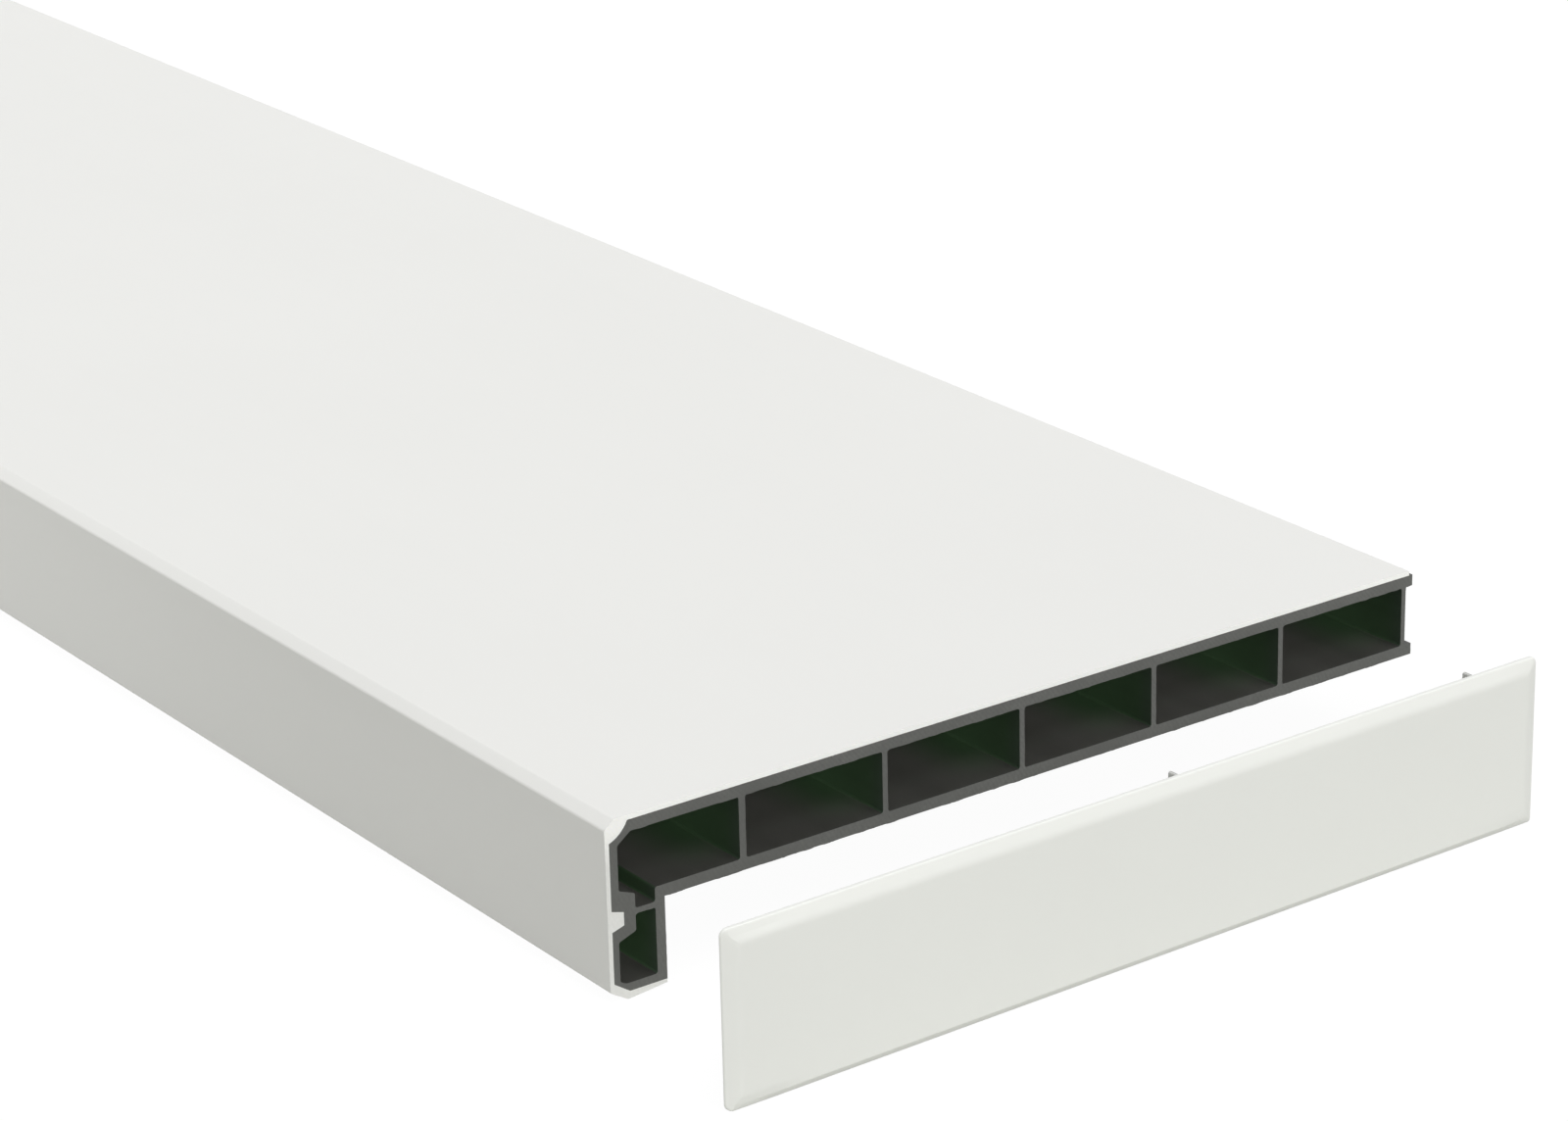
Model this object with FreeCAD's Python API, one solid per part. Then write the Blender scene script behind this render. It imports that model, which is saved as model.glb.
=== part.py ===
import FreeCAD, Part
import math
import os

# Hollow chamber window sill board, cut to length, with its loose end cap.
#
# X runs along the board towards the cut end that the cap belongs to, Y from the room side to the window
# side, Z up. The origin is the middle of the underside, the face that beds on the wall.
# The section is drawn in (depth, level): depth counts back from the front face and level is negative
# below the top surface. Everything is in millimetres.

Vector = FreeCAD.Vector

# Board
board_length = 1000.0
board_depth = 216.0
slab_height = 20.0
nose_height = 40.0
nose_depth = 13.8

# White layer
skin = 1.0
skin_short = 1.0
front_bevel_run = 2.4
front_bevel_drop = 1.9
foot_bevel_run = 4.2
foot_bevel_rise = 2.5
foot_slope_rise = 0.9
foot_skin = 0.8
edge_radius = 0.8

# Walls of the core
top_wall = 2.55
bottom_wall = 2.6
front_wall = 1.9
nose_front_wall = 1.5
nose_back_wall = 2.3
nose_floor = 1.8
first_web = 1.6
web = 1.3
back_web = 1.2
nose_web = 1.2
chamber_radius = 0.6

# Rows of chambers behind the nose
bay_pitch = 36.0
last_bay = 36.3
chamber_behind_throat = 14.0
lip_reach = 1.9

# Hollow corner of the core under the front bevel
cove_run = 4.5
cove_drop = 4.0
cove_sag = 0.6
corner_wall = 2.5

# Groove in the front of the core, which the white layer's key fills
groove_mouth = 4.6
groove_root = 2.9
groove_depth = 2.9
groove_below_slab = 2.1
groove_wall = 2.8
shoulder_above = 4.0
shoulder_below = 2.6
shoulder_slope = 1.5
nose_web_below_slab = 0.6

# End cap
cap_plate = 2.0
cap_shy_top = 0.5
cap_shy_foot = 1.0
cap_shy_front = 1.0
cap_shy_back = 2.0
cap_bevel_width = 3.0
cap_bevel_depth = 1.0
cap_corner_radius = 1.6
cap_back_foot_radius = 0.8
cap_foot_chamfer = 0.5
peg_length = 8.0
peg_thickness = 1.2
peg_clearance = 0.4
peg_taper = 2.4
peg_bays = (3, 1)
peg_behind_web = (15.1, 25.6)
nose_peg_width = 4.6
nose_peg_length = 5.0

# Where the cap stands, off the cut end, towards the room and a little turned (degrees)
cap_gap = 50.4
cap_shift = 8.9
cap_turn = 0.45

# Worked out from the above
cut_end = board_length / 2
half_groove_mouth = groove_mouth / 2
half_groove_root = groove_root / 2
groove_level = -slab_height - groove_below_slab
core_foot = -nose_height + foot_slope_rise + foot_skin
inner_top = -skin - top_wall
inner_bottom = -slab_height + bottom_wall
inner_front = skin + front_wall
nose_inner_front = skin + nose_front_wall
throat_front = skin + groove_depth + groove_wall
throat_back = nose_depth - nose_back_wall
nose_web_top = -slab_height - nose_web_below_slab
nose_web_bottom = nose_web_top - nose_web
nose_inner_foot = core_foot + nose_floor
back_web_centre = board_depth - lip_reach - back_web / 2
last_web_centre = back_web_centre - last_bay
equal_bays = int((last_web_centre - throat_back - chamber_behind_throat) / bay_pitch)
web_depths = [last_web_centre - bay_pitch * k for k in range(equal_bays, -1, -1)]
first_web_front = web_depths[0] - first_web / 2
peg_depths = [web_depths[-bay] + behind for bay, behind in zip(peg_bays, peg_behind_web)]


def point(depth, level, x=0.0):
    """A point of the section, given by its depth and level, at a place along the board."""
    return Vector(x, depth, level)


def line(a, b):
    """A straight edge of the section between two (depth, level) pairs."""
    return Part.makeLine(point(*a), point(*b))


def arc(a, through, b):
    """A round edge of the section through three (depth, level) pairs."""
    return Part.Arc(point(*a), point(*through), point(*b)).toShape()


def corner_arc(before, corner, after, radius):
    """Start, middle and end of the arc that rounds a corner between its two neighbours."""
    ways = []
    for end in (before, after):
        dy = end[0] - corner[0]
        dz = end[1] - corner[1]
        size = math.hypot(dy, dz)
        ways.append((dy / size, dz / size))
    (ay, az), (by, bz) = ways
    half_turn = math.acos(max(-1.0, min(1.0, ay * by + az * bz))) / 2
    reach = radius / math.tan(half_turn)
    to_centre = radius / math.sin(half_turn)
    my, mz = ay + by, az + bz
    size = math.hypot(my, mz)
    to_middle = to_centre - radius
    start = (corner[0] + ay * reach, corner[1] + az * reach)
    middle = (corner[0] + my / size * to_middle, corner[1] + mz / size * to_middle)
    end = (corner[0] + by * reach, corner[1] + bz * reach)
    return start, middle, end


def rounded_path(corners, closed):
    """Edges through corners (depth, level, radius), with each corner rounded where its radius isn't 0."""
    count = len(corners)
    stops = []
    for k, (y, z, radius) in enumerate(corners):
        if radius > 0:
            before = corners[k - 1][:2]
            after = corners[(k + 1) % count][:2]
            stops.append(corner_arc(before, (y, z), after, radius))
        else:
            stops.append(((y, z), None, (y, z)))
    edges = []
    for k, (start, middle, end) in enumerate(stops):
        if middle is not None:
            edges.append(arc(start, middle, end))
        if k + 1 < count or closed:
            edges.append(line(end, stops[(k + 1) % count][0]))
    return edges


def chamber(corners):
    """Closed wire of one hollow of the core, all its corners rounded alike."""
    return Part.Wire(rounded_path([(y, z, chamber_radius) for y, z in corners], True))


def extruded(face):
    """The board's full length of a section face."""
    start = face.translated(Vector(-cut_end, 0, 0))
    return start.extrude(Vector(board_length, 0, 0))


def bond_line():
    """Edges where the white layer meets the core, from the layer's back end round to the nose's foot."""
    mouth_top = (skin, groove_level + half_groove_mouth)
    root_top = (skin + groove_depth, groove_level + half_groove_root)
    root_bottom = (skin + groove_depth, groove_level - half_groove_root)
    mouth_bottom = (skin, groove_level - half_groove_mouth)
    cove_top = (skin + cove_run, -skin)
    cove_bottom = (skin, -skin - cove_drop)
    chord = math.hypot(cove_run, cove_drop)
    cove_middle = (skin + cove_run / 2 + cove_sag * cove_drop / chord,
                   -skin - cove_drop / 2 - cove_sag * cove_run / chord)
    foot_corner_top = (skin, core_foot + foot_bevel_rise)
    foot_corner_back = (skin + foot_bevel_run - skin / 2, core_foot)
    return [
        line((board_depth - skin_short, -skin), cove_top),
        arc(cove_top, cove_middle, cove_bottom),
        line(cove_bottom, mouth_top),
        line(mouth_top, root_top),
        line(root_top, root_bottom),
        line(root_bottom, mouth_bottom),
        line(mouth_bottom, foot_corner_top),
        line(foot_corner_top, foot_corner_back),
        line(foot_corner_back, (nose_depth, core_foot)),
    ]


def core_outline():
    """Closed outer wire of the core: the bond line, then back along the nose, the underside and the lips."""
    web_face = board_depth - lip_reach
    edges = bond_line()
    edges += rounded_path([
        (nose_depth, core_foot, 0),
        (nose_depth, -slab_height, 0),
        (board_depth, -slab_height, 0),
        (board_depth, inner_bottom, 0),
        (web_face, inner_bottom, 0),
        (web_face, inner_top, 0),
        (board_depth, inner_top, 0),
        (board_depth, -skin, 0),
        (board_depth - skin_short, -skin, 0),
    ], False)
    return Part.Wire(edges)


def front_chamber():
    """The chamber behind the front wall, open at its foot into the throat of the nose."""
    mouth_top = groove_level + half_groove_mouth
    shoulder = mouth_top + shoulder_above
    return chamber([
        (first_web_front, inner_top),
        (first_web_front, inner_bottom),
        (throat_back, inner_bottom),
        (throat_back, nose_web_top),
        (throat_front, nose_web_top),
        (throat_front, shoulder - shoulder_slope),
        (inner_front, shoulder),
        (inner_front, inner_top - cove_drop + corner_wall - front_wall / 2),
        (inner_front + cove_run - corner_wall + top_wall / 2, inner_top),
    ])


def full_chambers():
    """The chambers between the webs, all alike but the last, which the thin back web closes."""
    walls = [(web_depths[0], first_web)]
    walls += [(depth, web) for depth in web_depths[1:]]
    walls.append((back_web_centre, back_web))
    wires = []
    for (front_centre, front_web), (back_centre, rear_web) in zip(walls, walls[1:]):
        front = front_centre + front_web / 2
        back = back_centre - rear_web / 2
        wires.append(chamber([
            (front, inner_top),
            (back, inner_top),
            (back, inner_bottom),
            (front, inner_bottom),
        ]))
    return wires


def nose_chamber():
    """The closed hollow at the foot of the nose, narrow behind the groove and wide below it."""
    mouth_bottom = groove_level - half_groove_mouth
    ledge = mouth_bottom - shoulder_below
    return chamber([
        (throat_front, nose_web_bottom),
        (throat_back, nose_web_bottom),
        (throat_back, nose_inner_foot),
        (nose_inner_front + shoulder_slope, nose_inner_foot),
        (nose_inner_front, nose_inner_foot + shoulder_slope / 2),
        (nose_inner_front, ledge),
        (throat_front, ledge + shoulder_slope),
    ])


def make_core():
    """The dark hollow extrusion, one solid with every chamber open at both ends."""
    wires = [core_outline(), front_chamber(), nose_chamber()] + full_chambers()
    section = Part.Face(wires)
    section.validate()
    return extruded(section)


def make_skin():
    """The white layer: outer surface with its two bevels, inner surface on the bond line."""
    outer = rounded_path([
        (nose_depth, core_foot, 0),
        (nose_depth, core_foot - foot_skin, 0),
        (foot_bevel_run, -nose_height, edge_radius),
        (0, -nose_height + foot_bevel_rise, edge_radius),
        (0, -front_bevel_drop, edge_radius),
        (front_bevel_run, 0, edge_radius),
        (board_depth - skin_short, 0, 0),
        (board_depth - skin_short, -skin, 0),
    ], False)
    section = Part.Face(Part.Wire(bond_line() + outer))
    return extruded(section)


def cap_wedge(x_outer, side):
    """The prism cut off one edge of the plate's outer face; side is top, front or back."""
    front, back, foot, top = cap_box()
    run = cap_bevel_width
    if side == "top":
        ridge = [Vector(x_outer, front - run, top - run), Vector(x_outer, front - run, top),
                 Vector(x_outer - cap_bevel_depth, front - run, top)]
        way = Vector(0, back - front + 2 * run, 0)
    else:
        edge = front if side == "front" else back
        inward = run if side == "front" else -run
        ridge = [Vector(x_outer, edge + inward, foot - run), Vector(x_outer, edge, foot - run),
                 Vector(x_outer - cap_bevel_depth, edge, foot - run)]
        way = Vector(0, 0, top - foot + 2 * run)
    return Part.Face(Part.makePolygon(ridge + ridge[:1])).extrude(way)


def cap_box():
    """Front, back, foot and top of the cap's plate when it is plugged in."""
    return (cap_shy_front, board_depth - cap_shy_back,
            -nose_height + cap_shy_foot, -cap_shy_top)


def make_cap_plate():
    """The plate, with rounded corners, bevelled at the top and the two ends and eased at its foot."""
    front, back, foot, top = cap_box()
    radius = cap_corner_radius
    corners = [(front, foot, radius), (back, foot, cap_back_foot_radius), (back, top, radius), (front, top, radius)]
    wire = Part.Wire(rounded_path(corners, True))
    plate = Part.Face(wire).translated(Vector(cut_end, 0, 0)).extrude(Vector(cap_plate, 0, 0))
    x_outer = cut_end + cap_plate
    for side in ("top", "front", "back"):
        plate = plate.cut(cap_wedge(x_outer, side))
    step = cap_foot_chamfer
    ridge = [Vector(x_outer, front, foot + step), Vector(x_outer, front, foot),
             Vector(x_outer - step, front, foot)]
    foot_wedge = Part.Face(Part.makePolygon(ridge + ridge[:1])).extrude(Vector(0, back - front, 0))
    return plate.cut(foot_wedge)


def peg(depth, width, length, top, foot):
    """One peg on the plate's back, straight above and cut away below towards its tip."""
    side = [(0.0, top), (0.0, foot), (peg_taper, foot), (length, foot + peg_taper), (length, top)]
    corners = [Vector(cut_end - x, depth - width / 2, z) for x, z in side]
    return Part.Face(Part.makePolygon(corners + corners[:1])).extrude(Vector(0, width, 0))


def make_cap():
    """The end cap with its pegs, moved from its fitted place to where it stands off the cut end."""
    plate = make_cap_plate()
    for depth in peg_depths:
        plate = plate.fuse(peg(depth, peg_thickness, peg_length,
                               inner_top - peg_clearance, inner_bottom + peg_clearance))
    middle = (nose_inner_front + throat_back) / 2
    ledge = groove_level - half_groove_mouth - shoulder_below
    plate = plate.fuse(peg(middle, nose_peg_width, nose_peg_length,
                           ledge - peg_clearance, nose_inner_foot + peg_clearance))
    plate = plate.removeSplitter()
    front, back, foot, top = cap_box()
    plate.translate(Vector(cap_gap, -cap_shift, -nose_height - foot))
    front_corner = Vector(cut_end + cap_plate + cap_gap, front - cap_shift, 0)
    plate.rotate(front_corner, Vector(0, 0, 1), cap_turn)
    return plate


def check(name, shape):
    """Stops with a message unless the piece is one valid closed solid, and returns that solid."""
    solids = shape.Solids
    if len(solids) != 1 or not shape.isValid():
        raise ValueError("%s is not one valid solid" % name)
    return solids[0]


def main():
    os.makedirs("parts", exist_ok=True)
    to_origin = Vector(0, -(nose_depth + board_depth) / 2, slab_height)
    pieces = {
        "core_profile": make_core(),
        "white_skin": make_skin(),
        "end_cap": make_cap(),
    }
    for name, shape in pieces.items():
        solid = check(name, shape).translated(to_origin)
        solid.exportStep("parts/%s.step" % name)
        box = solid.BoundBox
        print("%-14s volume %9.0f mm3  X %.1f..%.1f  Y %.1f..%.1f  Z %.1f..%.1f" % (
            name, solid.Volume, box.XMin, box.XMax, box.YMin, box.YMax, box.ZMin, box.ZMax))


main()
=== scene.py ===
"""Finishes and fine relief of a hollow plastic window sill board with a loose end cap.

They go round the board's CAD frame. Metres, in the frame of the part: X along the board towards
the cut end with the cap, Y from the room side to the window side, Z up. The origin is the middle
of the underside that beds on the wall.
"""
import math

import bpy
import numpy as np
from mathutils import Matrix, Vector


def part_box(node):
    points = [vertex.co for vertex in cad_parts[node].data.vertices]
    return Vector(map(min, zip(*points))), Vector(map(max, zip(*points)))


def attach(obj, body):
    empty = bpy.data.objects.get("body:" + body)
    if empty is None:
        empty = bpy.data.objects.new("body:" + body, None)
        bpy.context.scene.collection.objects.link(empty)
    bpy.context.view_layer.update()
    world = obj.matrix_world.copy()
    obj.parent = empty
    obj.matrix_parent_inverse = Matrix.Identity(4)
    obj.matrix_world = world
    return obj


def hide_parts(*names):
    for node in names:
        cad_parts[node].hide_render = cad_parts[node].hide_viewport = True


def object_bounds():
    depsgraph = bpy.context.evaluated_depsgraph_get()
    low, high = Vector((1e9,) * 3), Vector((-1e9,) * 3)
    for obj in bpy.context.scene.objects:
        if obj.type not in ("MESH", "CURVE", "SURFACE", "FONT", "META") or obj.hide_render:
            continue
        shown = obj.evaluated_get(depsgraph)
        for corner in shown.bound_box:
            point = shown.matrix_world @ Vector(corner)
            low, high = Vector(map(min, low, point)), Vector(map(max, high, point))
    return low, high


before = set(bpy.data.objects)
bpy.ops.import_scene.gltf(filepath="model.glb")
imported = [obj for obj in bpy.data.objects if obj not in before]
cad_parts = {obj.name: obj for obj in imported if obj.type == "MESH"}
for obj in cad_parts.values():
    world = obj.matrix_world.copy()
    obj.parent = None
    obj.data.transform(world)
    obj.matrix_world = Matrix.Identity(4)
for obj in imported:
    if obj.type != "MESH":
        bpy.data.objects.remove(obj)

bl_info = {
    "name": "Window sill board",
    "version": (1, 0, 0),
    "blender": (4, 5, 0),
    "location": "View3D > Sidebar > Sill board",
    "description": "Finishes, saw burr and studio for a hollow plastic window sill board",
    "category": "Object",
}

CORE, LAYER, CAP = "core_profile", "white_skin", "end_cap"
PART_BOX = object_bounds()
CUT_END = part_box(CORE)[1].x
FLOOR_LEVEL = PART_BOX[0].z
FACE_LEVEL = PART_BOX[1].z
BODY = "root"
MM = 0.001

# All three plastics
PLASTIC_IOR = 1.5

# How near a cut end the surface counts as sawn, and how far the saw's marks wander along its feed
SAWN_DEPTH = 0.05 * MM
SAW_WANDER = 2.0 * MM

# The sawn layer: its share of the layer's colour, and its darkest marks' share of that; and the
# levels from which and up to which it gets lighter, with its shares there: painted shade that
# makes its foot darker and its top lighter
LAYER_SAWN = 1.12
LAYER_MARKS = 0.94
LAYER_PAINTED_SHADE = (0.5 * FACE_LEVEL, 0.9 * FACE_LEVEL, 0.92, 1.16)

# The sawn core: its darkest marks' share of its colour
CORE_MARKS = 0.88

# The core's streaks: share of its colour at the darkest, and what the lightest add
CORE_STREAKS = (0.94, 0.12)

# Painted light and shade inside the chambers, darker at the cut and lighter further in: how far
# in it changes, and its share of the colour at the cut and there
FLOOR_PAINTED_LIGHT = (20 * MM, 0.56, 2.7)
WEB_PAINTED_LIGHT = (22 * MM, 0.66, 1.25)

# The room side of the back web, and the distance from web to web
BACK_WEB = 98.05 * MM
BAY_PITCH = 36.0 * MM

# Webs: how far in they come to their full green, a painted shade, how much lighter they are in the
# nose, as painted light, and at what level they come to that
GREEN_REACH = 6 * MM
NOSE_PAINTED_LIGHT = 1.4
NOSE_LEVEL = -2 * MM

# Floors beside a web, painted shade in the web's green: the share of its colour that they take up;
# how far from the web that starts, which is also how far in it comes to its full; and how far from
# the web it is full
CORNER_SHADE_SHARE = 1.27
CORNER_SHADE_REACH = 18 * MM
CORNER_SHADE_FOOT = 2 * MM

# The least radius that is left to a corner where its outline moves inwards
LEAST_ROUND = 0.01 * MM

# The end cap's plate: width and thickness, turn about the vertical, step from the CAD cap's place
CAP_PLATE = (213.0 * MM, 2.0 * MM)
CAP_TURN = math.radians(0.45)
CAP_SHIFT = (0.7 * MM, -0.47 * MM, 0.0)

# Its bevels: run; drop at the front end, the back end and the top; rise and drop at the foot; and
# half the width of the round on their ridges
CAP_BEVEL = 3.0 * MM
CAP_FALLS = (1.6 * MM, 1.0 * MM, 1.0 * MM)
CAP_FOOT = (1.5 * MM, 0.9 * MM)
CAP_RIDGE = 0.28 * MM
CAP_FOOT_RIDGE = 0.2 * CAP_RIDGE

# Its rounds: the outer rim, the back rim, and the corners from the foot of the front one onwards
CAP_RIM = 0.25 * MM
CAP_BACK_RIM = 0.1 * MM
CAP_CORNERS = (1.6 * MM, 0.8 * MM, 1.6 * MM, 1.6 * MM)

# The cap's pegs, from the foot of the plate's front corner: depth of the middle, width, length,
# foot and top
CAP_PEGS = (
    (119.5 * MM, 0.8 * MM, 9.7 * MM, 22.0 * MM, 34.45 * MM),
    (202.0 * MM, 0.8 * MM, 9.7 * MM, 22.0 * MM, 34.45 * MM),
    (6.0 * MM, 4.6 * MM, 5.0 * MM, 2.9 * MM, 11.6 * MM),
)

# How far from the plate the slope under a peg's tip starts, which is also its rise; the rounds of
# a peg's edges, its corners and its tip's top corner; and how deep a peg sits in the plate
CAP_PEG_TAPER = 2.4 * MM
CAP_PEG_ROUND = 0.45 * MM
CAP_PEG_CORNER = 1.1 * CAP_PEG_ROUND
CAP_PEG_TIP = 0.7 * MM
CAP_PEG_ROOT = 0.2 * CAP_PLATE[1]

# The saw: which way over the section it leaves the cut
SAW_WAY = (0.35, -0.94)

# Its burr: distance between points, how far the lip stands out of the cut and the foot goes down
# the wall, how far it keeps from the other plastic, and the fewest points that make a strip
BURR_STEP = 0.45 * MM
BURR_LIP = 0.03 * MM
BURR_FOOT = 0.12 * MM
BURR_CLEAR = 0.05 * MM
BURR_FEWEST = 3

# The burr's teeth: how much the fine ones add, and the longest and shortest as shares of the
# burr's size; and over how many points a strip thins out, and how many its last one counts for
BURR_FINE = 0.35
BURR_LONGEST = 1.6
BURR_SHORTEST = 0.1
BURR_THINNING = 2
BURR_LAST = 0.15

# The floor: half its side, its own glow to look at, and its grey to look at, which shows the shadow
FLOOR_HALF = 30.0
FLOOR_GLOW = 0.965
FLOOR_SEEN = (0.05, 0.05, 0.05, 1.0)
WHITE = (1.0, 1.0, 1.0, 1.0)

# Where the two even lights come from, as azimuth and elevation in degrees round the board
KEY_FROM = (100.0, 66.0)
FILL_FROM = (60.0, 21.0)

# The pool of light on the front: its centre along the board, its reach from there, how far the
# lamp is from the front, and the lamp's radius
POOL_CENTRE = -0.1
POOL_REACH = 0.52
POOL_AWAY = 2.5
POOL_LAMP = 0.1

# The camera: its sensor's width and its place in millimetres, its azimuth and elevation in degrees
# round the board, and its roll
CAMERA_SENSOR = 36.0
CAMERA_PLACE = (1199.11, -565.8, 395.31)
CAMERA_FROM = (54.647, 21.119)
CAMERA_ROLL = math.radians(-1.422)


def screen(red, green, blue):
    """Linear colour of one that is given as 0 to 255 on the screen, by the sRGB curve."""
    shares = [part / 255 for part in (red, green, blue)]
    linear = [s / 12.92 if s <= 0.04045 else ((s + 0.055) / 1.055) ** 2.4 for s in shares]
    return tuple(linear) + (1.0,)


class SillFinish(bpy.types.PropertyGroup):
    """Colours and relief of the three plastics."""

    layer_colour: bpy.props.FloatVectorProperty(
        name="White layer", description="Colour of the extruded white layer",
        subtype="COLOR", size=4, default=screen(233, 233, 230), min=0, max=1)
    cap_colour: bpy.props.FloatVectorProperty(
        name="End cap", description="Colour of the moulded end cap",
        subtype="COLOR", size=4, default=screen(233, 234, 230), min=0, max=1)
    core_colour: bpy.props.FloatVectorProperty(
        name="Core", description="Colour of the dark core as extruded",
        subtype="COLOR", size=4, default=screen(70, 70, 66), min=0, max=1)
    # Painted shade: only the webs' room side gets these green colours, the core's other faces don't
    web_shade_colour: bpy.props.FloatVectorProperty(
        name="Webs", description="Painted green shade of the webs' room side",
        subtype="COLOR", size=4, default=screen(59, 82, 56), min=0, max=1)
    web_cut_shade_colour: bpy.props.FloatVectorProperty(
        name="Webs at the cut", description="Colour of the webs' room side right at the cut",
        subtype="COLOR", size=4, default=screen(57, 72, 57), min=0, max=1)
    sawn_core_colour: bpy.props.FloatVectorProperty(
        name="Sawn core", description="Colour of the core where the saw went through",
        subtype="COLOR", size=4, default=screen(100, 101, 98), min=0, max=1)
    saw_pitch: bpy.props.FloatProperty(
        name="Saw pitch", description="Distance between two marks of the saw blade",
        subtype="DISTANCE", unit="LENGTH", default=1.1 * MM, min=0.2 * MM, max=10 * MM)
    blade_radius: bpy.props.FloatProperty(
        name="Blade radius", description="Radius of the saw blade whose marks show on the cut",
        subtype="DISTANCE", unit="LENGTH", default=0.125, min=0.05, max=0.4)
    burr: bpy.props.FloatProperty(
        name="Burr", description="Size of the teeth of the thin burr that the saw leaves",
        subtype="DISTANCE", unit="LENGTH", default=0.07 * MM, min=0.02 * MM, max=2 * MM)


class SillStudio(bpy.types.PropertyGroup):
    """Light, floor and camera."""

    sky: bpy.props.FloatProperty(
        name="Sky", description="Light that comes evenly from all round",
        default=0.35, min=0, max=2)
    key: bpy.props.FloatProperty(
        name="Key light", description="Strength of the soft light from above",
        default=1.79, min=0, max=10)
    key_angle: bpy.props.FloatProperty(
        name="Softness", description="How wide the key light looks from the board",
        subtype="ANGLE", unit="ROTATION", default=math.radians(50), min=0, max=math.pi)
    fill: bpy.props.FloatProperty(
        name="Fill light", description="Strength of the light from the photographer's side",
        default=1.06, min=0, max=10)
    fill_angle: bpy.props.FloatProperty(
        name="Fill softness", description="How wide the fill light looks from the board",
        subtype="ANGLE", unit="ROTATION", default=math.radians(12), min=0, max=math.pi)
    pool: bpy.props.FloatProperty(
        name="Front light",
        description="Power of the soft pool of light on the front, away from the cut",
        unit="POWER", default=46.0, min=0, max=1000)
    floor_colour: bpy.props.FloatVectorProperty(
        name="Floor", description="Colour that the floor throws back onto the board",
        subtype="COLOR", size=4, default=(0.4, 0.405, 0.365, 1), min=0, max=1)
    lens: bpy.props.FloatProperty(
        name="Lens", description="Focal length in millimetres, on a sensor 36 mm wide",
        default=106.25, min=10, max=400)


def finish():
    """The sizes and colours of the finishes."""
    return bpy.context.scene.sill_finish


def studio():
    """The sizes and colours of the studio."""
    return bpy.context.scene.sill_studio


def put(tree, socket, value):
    """Links an input to another node's output, or sets it where the value is a plain one."""
    if isinstance(value, bpy.types.NodeSocket):
        tree.links.new(value, socket)
    else:
        socket.default_value = value


def node(tree, kind, inputs=None, **settings):
    """A new node with its settings and its inputs, which are given by name or number."""
    made = tree.nodes.new("ShaderNode" + kind)
    for name, value in settings.items():
        setattr(made, name, value)
    for key, value in (inputs or {}).items():
        put(tree, made.inputs[key], value)
    return made


def sums(tree, operation, *values):
    """The output of a Math node on one, two or three values."""
    return node(tree, "Math", dict(enumerate(values)), operation=operation).outputs[0]


def spread(tree, value, low, high, to_low=0.0, to_high=1.0, way="LINEAR"):
    """A value carried from one range to another, and held inside it."""
    inputs = {"Value": value, "From Min": low, "From Max": high,
              "To Min": to_low, "To Max": to_high}
    return node(tree, "MapRange", inputs, interpolation_type=way).outputs["Result"]


def soft_step(tree, value, low, high, to_low=0.0, to_high=1.0):
    """The same, with a smooth step in place of a straight line."""
    return spread(tree, value, low, high, to_low, to_high, "SMOOTHSTEP")


def apart(tree, vector):
    """The three parts of a vector, by X, Y and Z."""
    return node(tree, "SeparateXYZ", {"Vector": vector}).outputs


def noise(tree, vector, scale, detail, roughness=0.5):
    """The value of a noise texture, 0 to 1 round a middle of 0.5."""
    inputs = {"Vector": vector, "Scale": scale, "Detail": detail, "Roughness": roughness}
    return node(tree, "TexNoise", inputs).outputs["Fac"]


def blend(tree, share, first, second):
    """A colour between two others, by the Mix node's colour sockets."""
    return node(tree, "Mix", {0: share, 6: first, 7: second}, data_type="RGBA").outputs[2]


def scaled(tree, colour, share):
    """A colour times a value."""
    inputs = {0: colour, "Scale": share}
    return node(tree, "VectorMath", inputs, operation="SCALE").outputs["Vector"]


def shade(colour, share):
    """A plain colour times a plain number."""
    return tuple(share * part for part in colour[:3]) + (1.0,)


def cleared(data):
    """The emptied node tree of a new material or world."""
    data.use_nodes = True
    data.node_tree.nodes.clear()
    return data.node_tree


def show(tree, shader, kind="Material"):
    """Sends a shader to the output of its material or world."""
    output = tree.nodes.new("ShaderNodeOutput" + kind)
    tree.links.new(shader.outputs[0], output.inputs["Surface"])


def new_object(name, data):
    """A new object in the scene."""
    made = bpy.data.objects.new(name, data)
    bpy.context.scene.collection.objects.link(made)
    return made


def new_group(name, inputs, outputs):
    """A new shader node group with named sockets, and its input and output nodes."""
    tree = bpy.data.node_groups.new(name, "ShaderNodeTree")
    for label, kind, value in inputs:
        socket = tree.interface.new_socket(label, in_out="INPUT", socket_type="NodeSocket" + kind)
        if value is not None:
            socket.default_value = value
    for label, kind in outputs:
        tree.interface.new_socket(label, in_out="OUTPUT", socket_type="NodeSocket" + kind)
    given, out = tree.nodes.new("NodeGroupInput"), tree.nodes.new("NodeGroupOutput")
    return tree, given.outputs, out.inputs


def use(tree, name, inputs):
    """A node group placed in a material, with its own values."""
    return node(tree, "Group", inputs, node_tree=bpy.data.node_groups[name]).outputs


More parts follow.
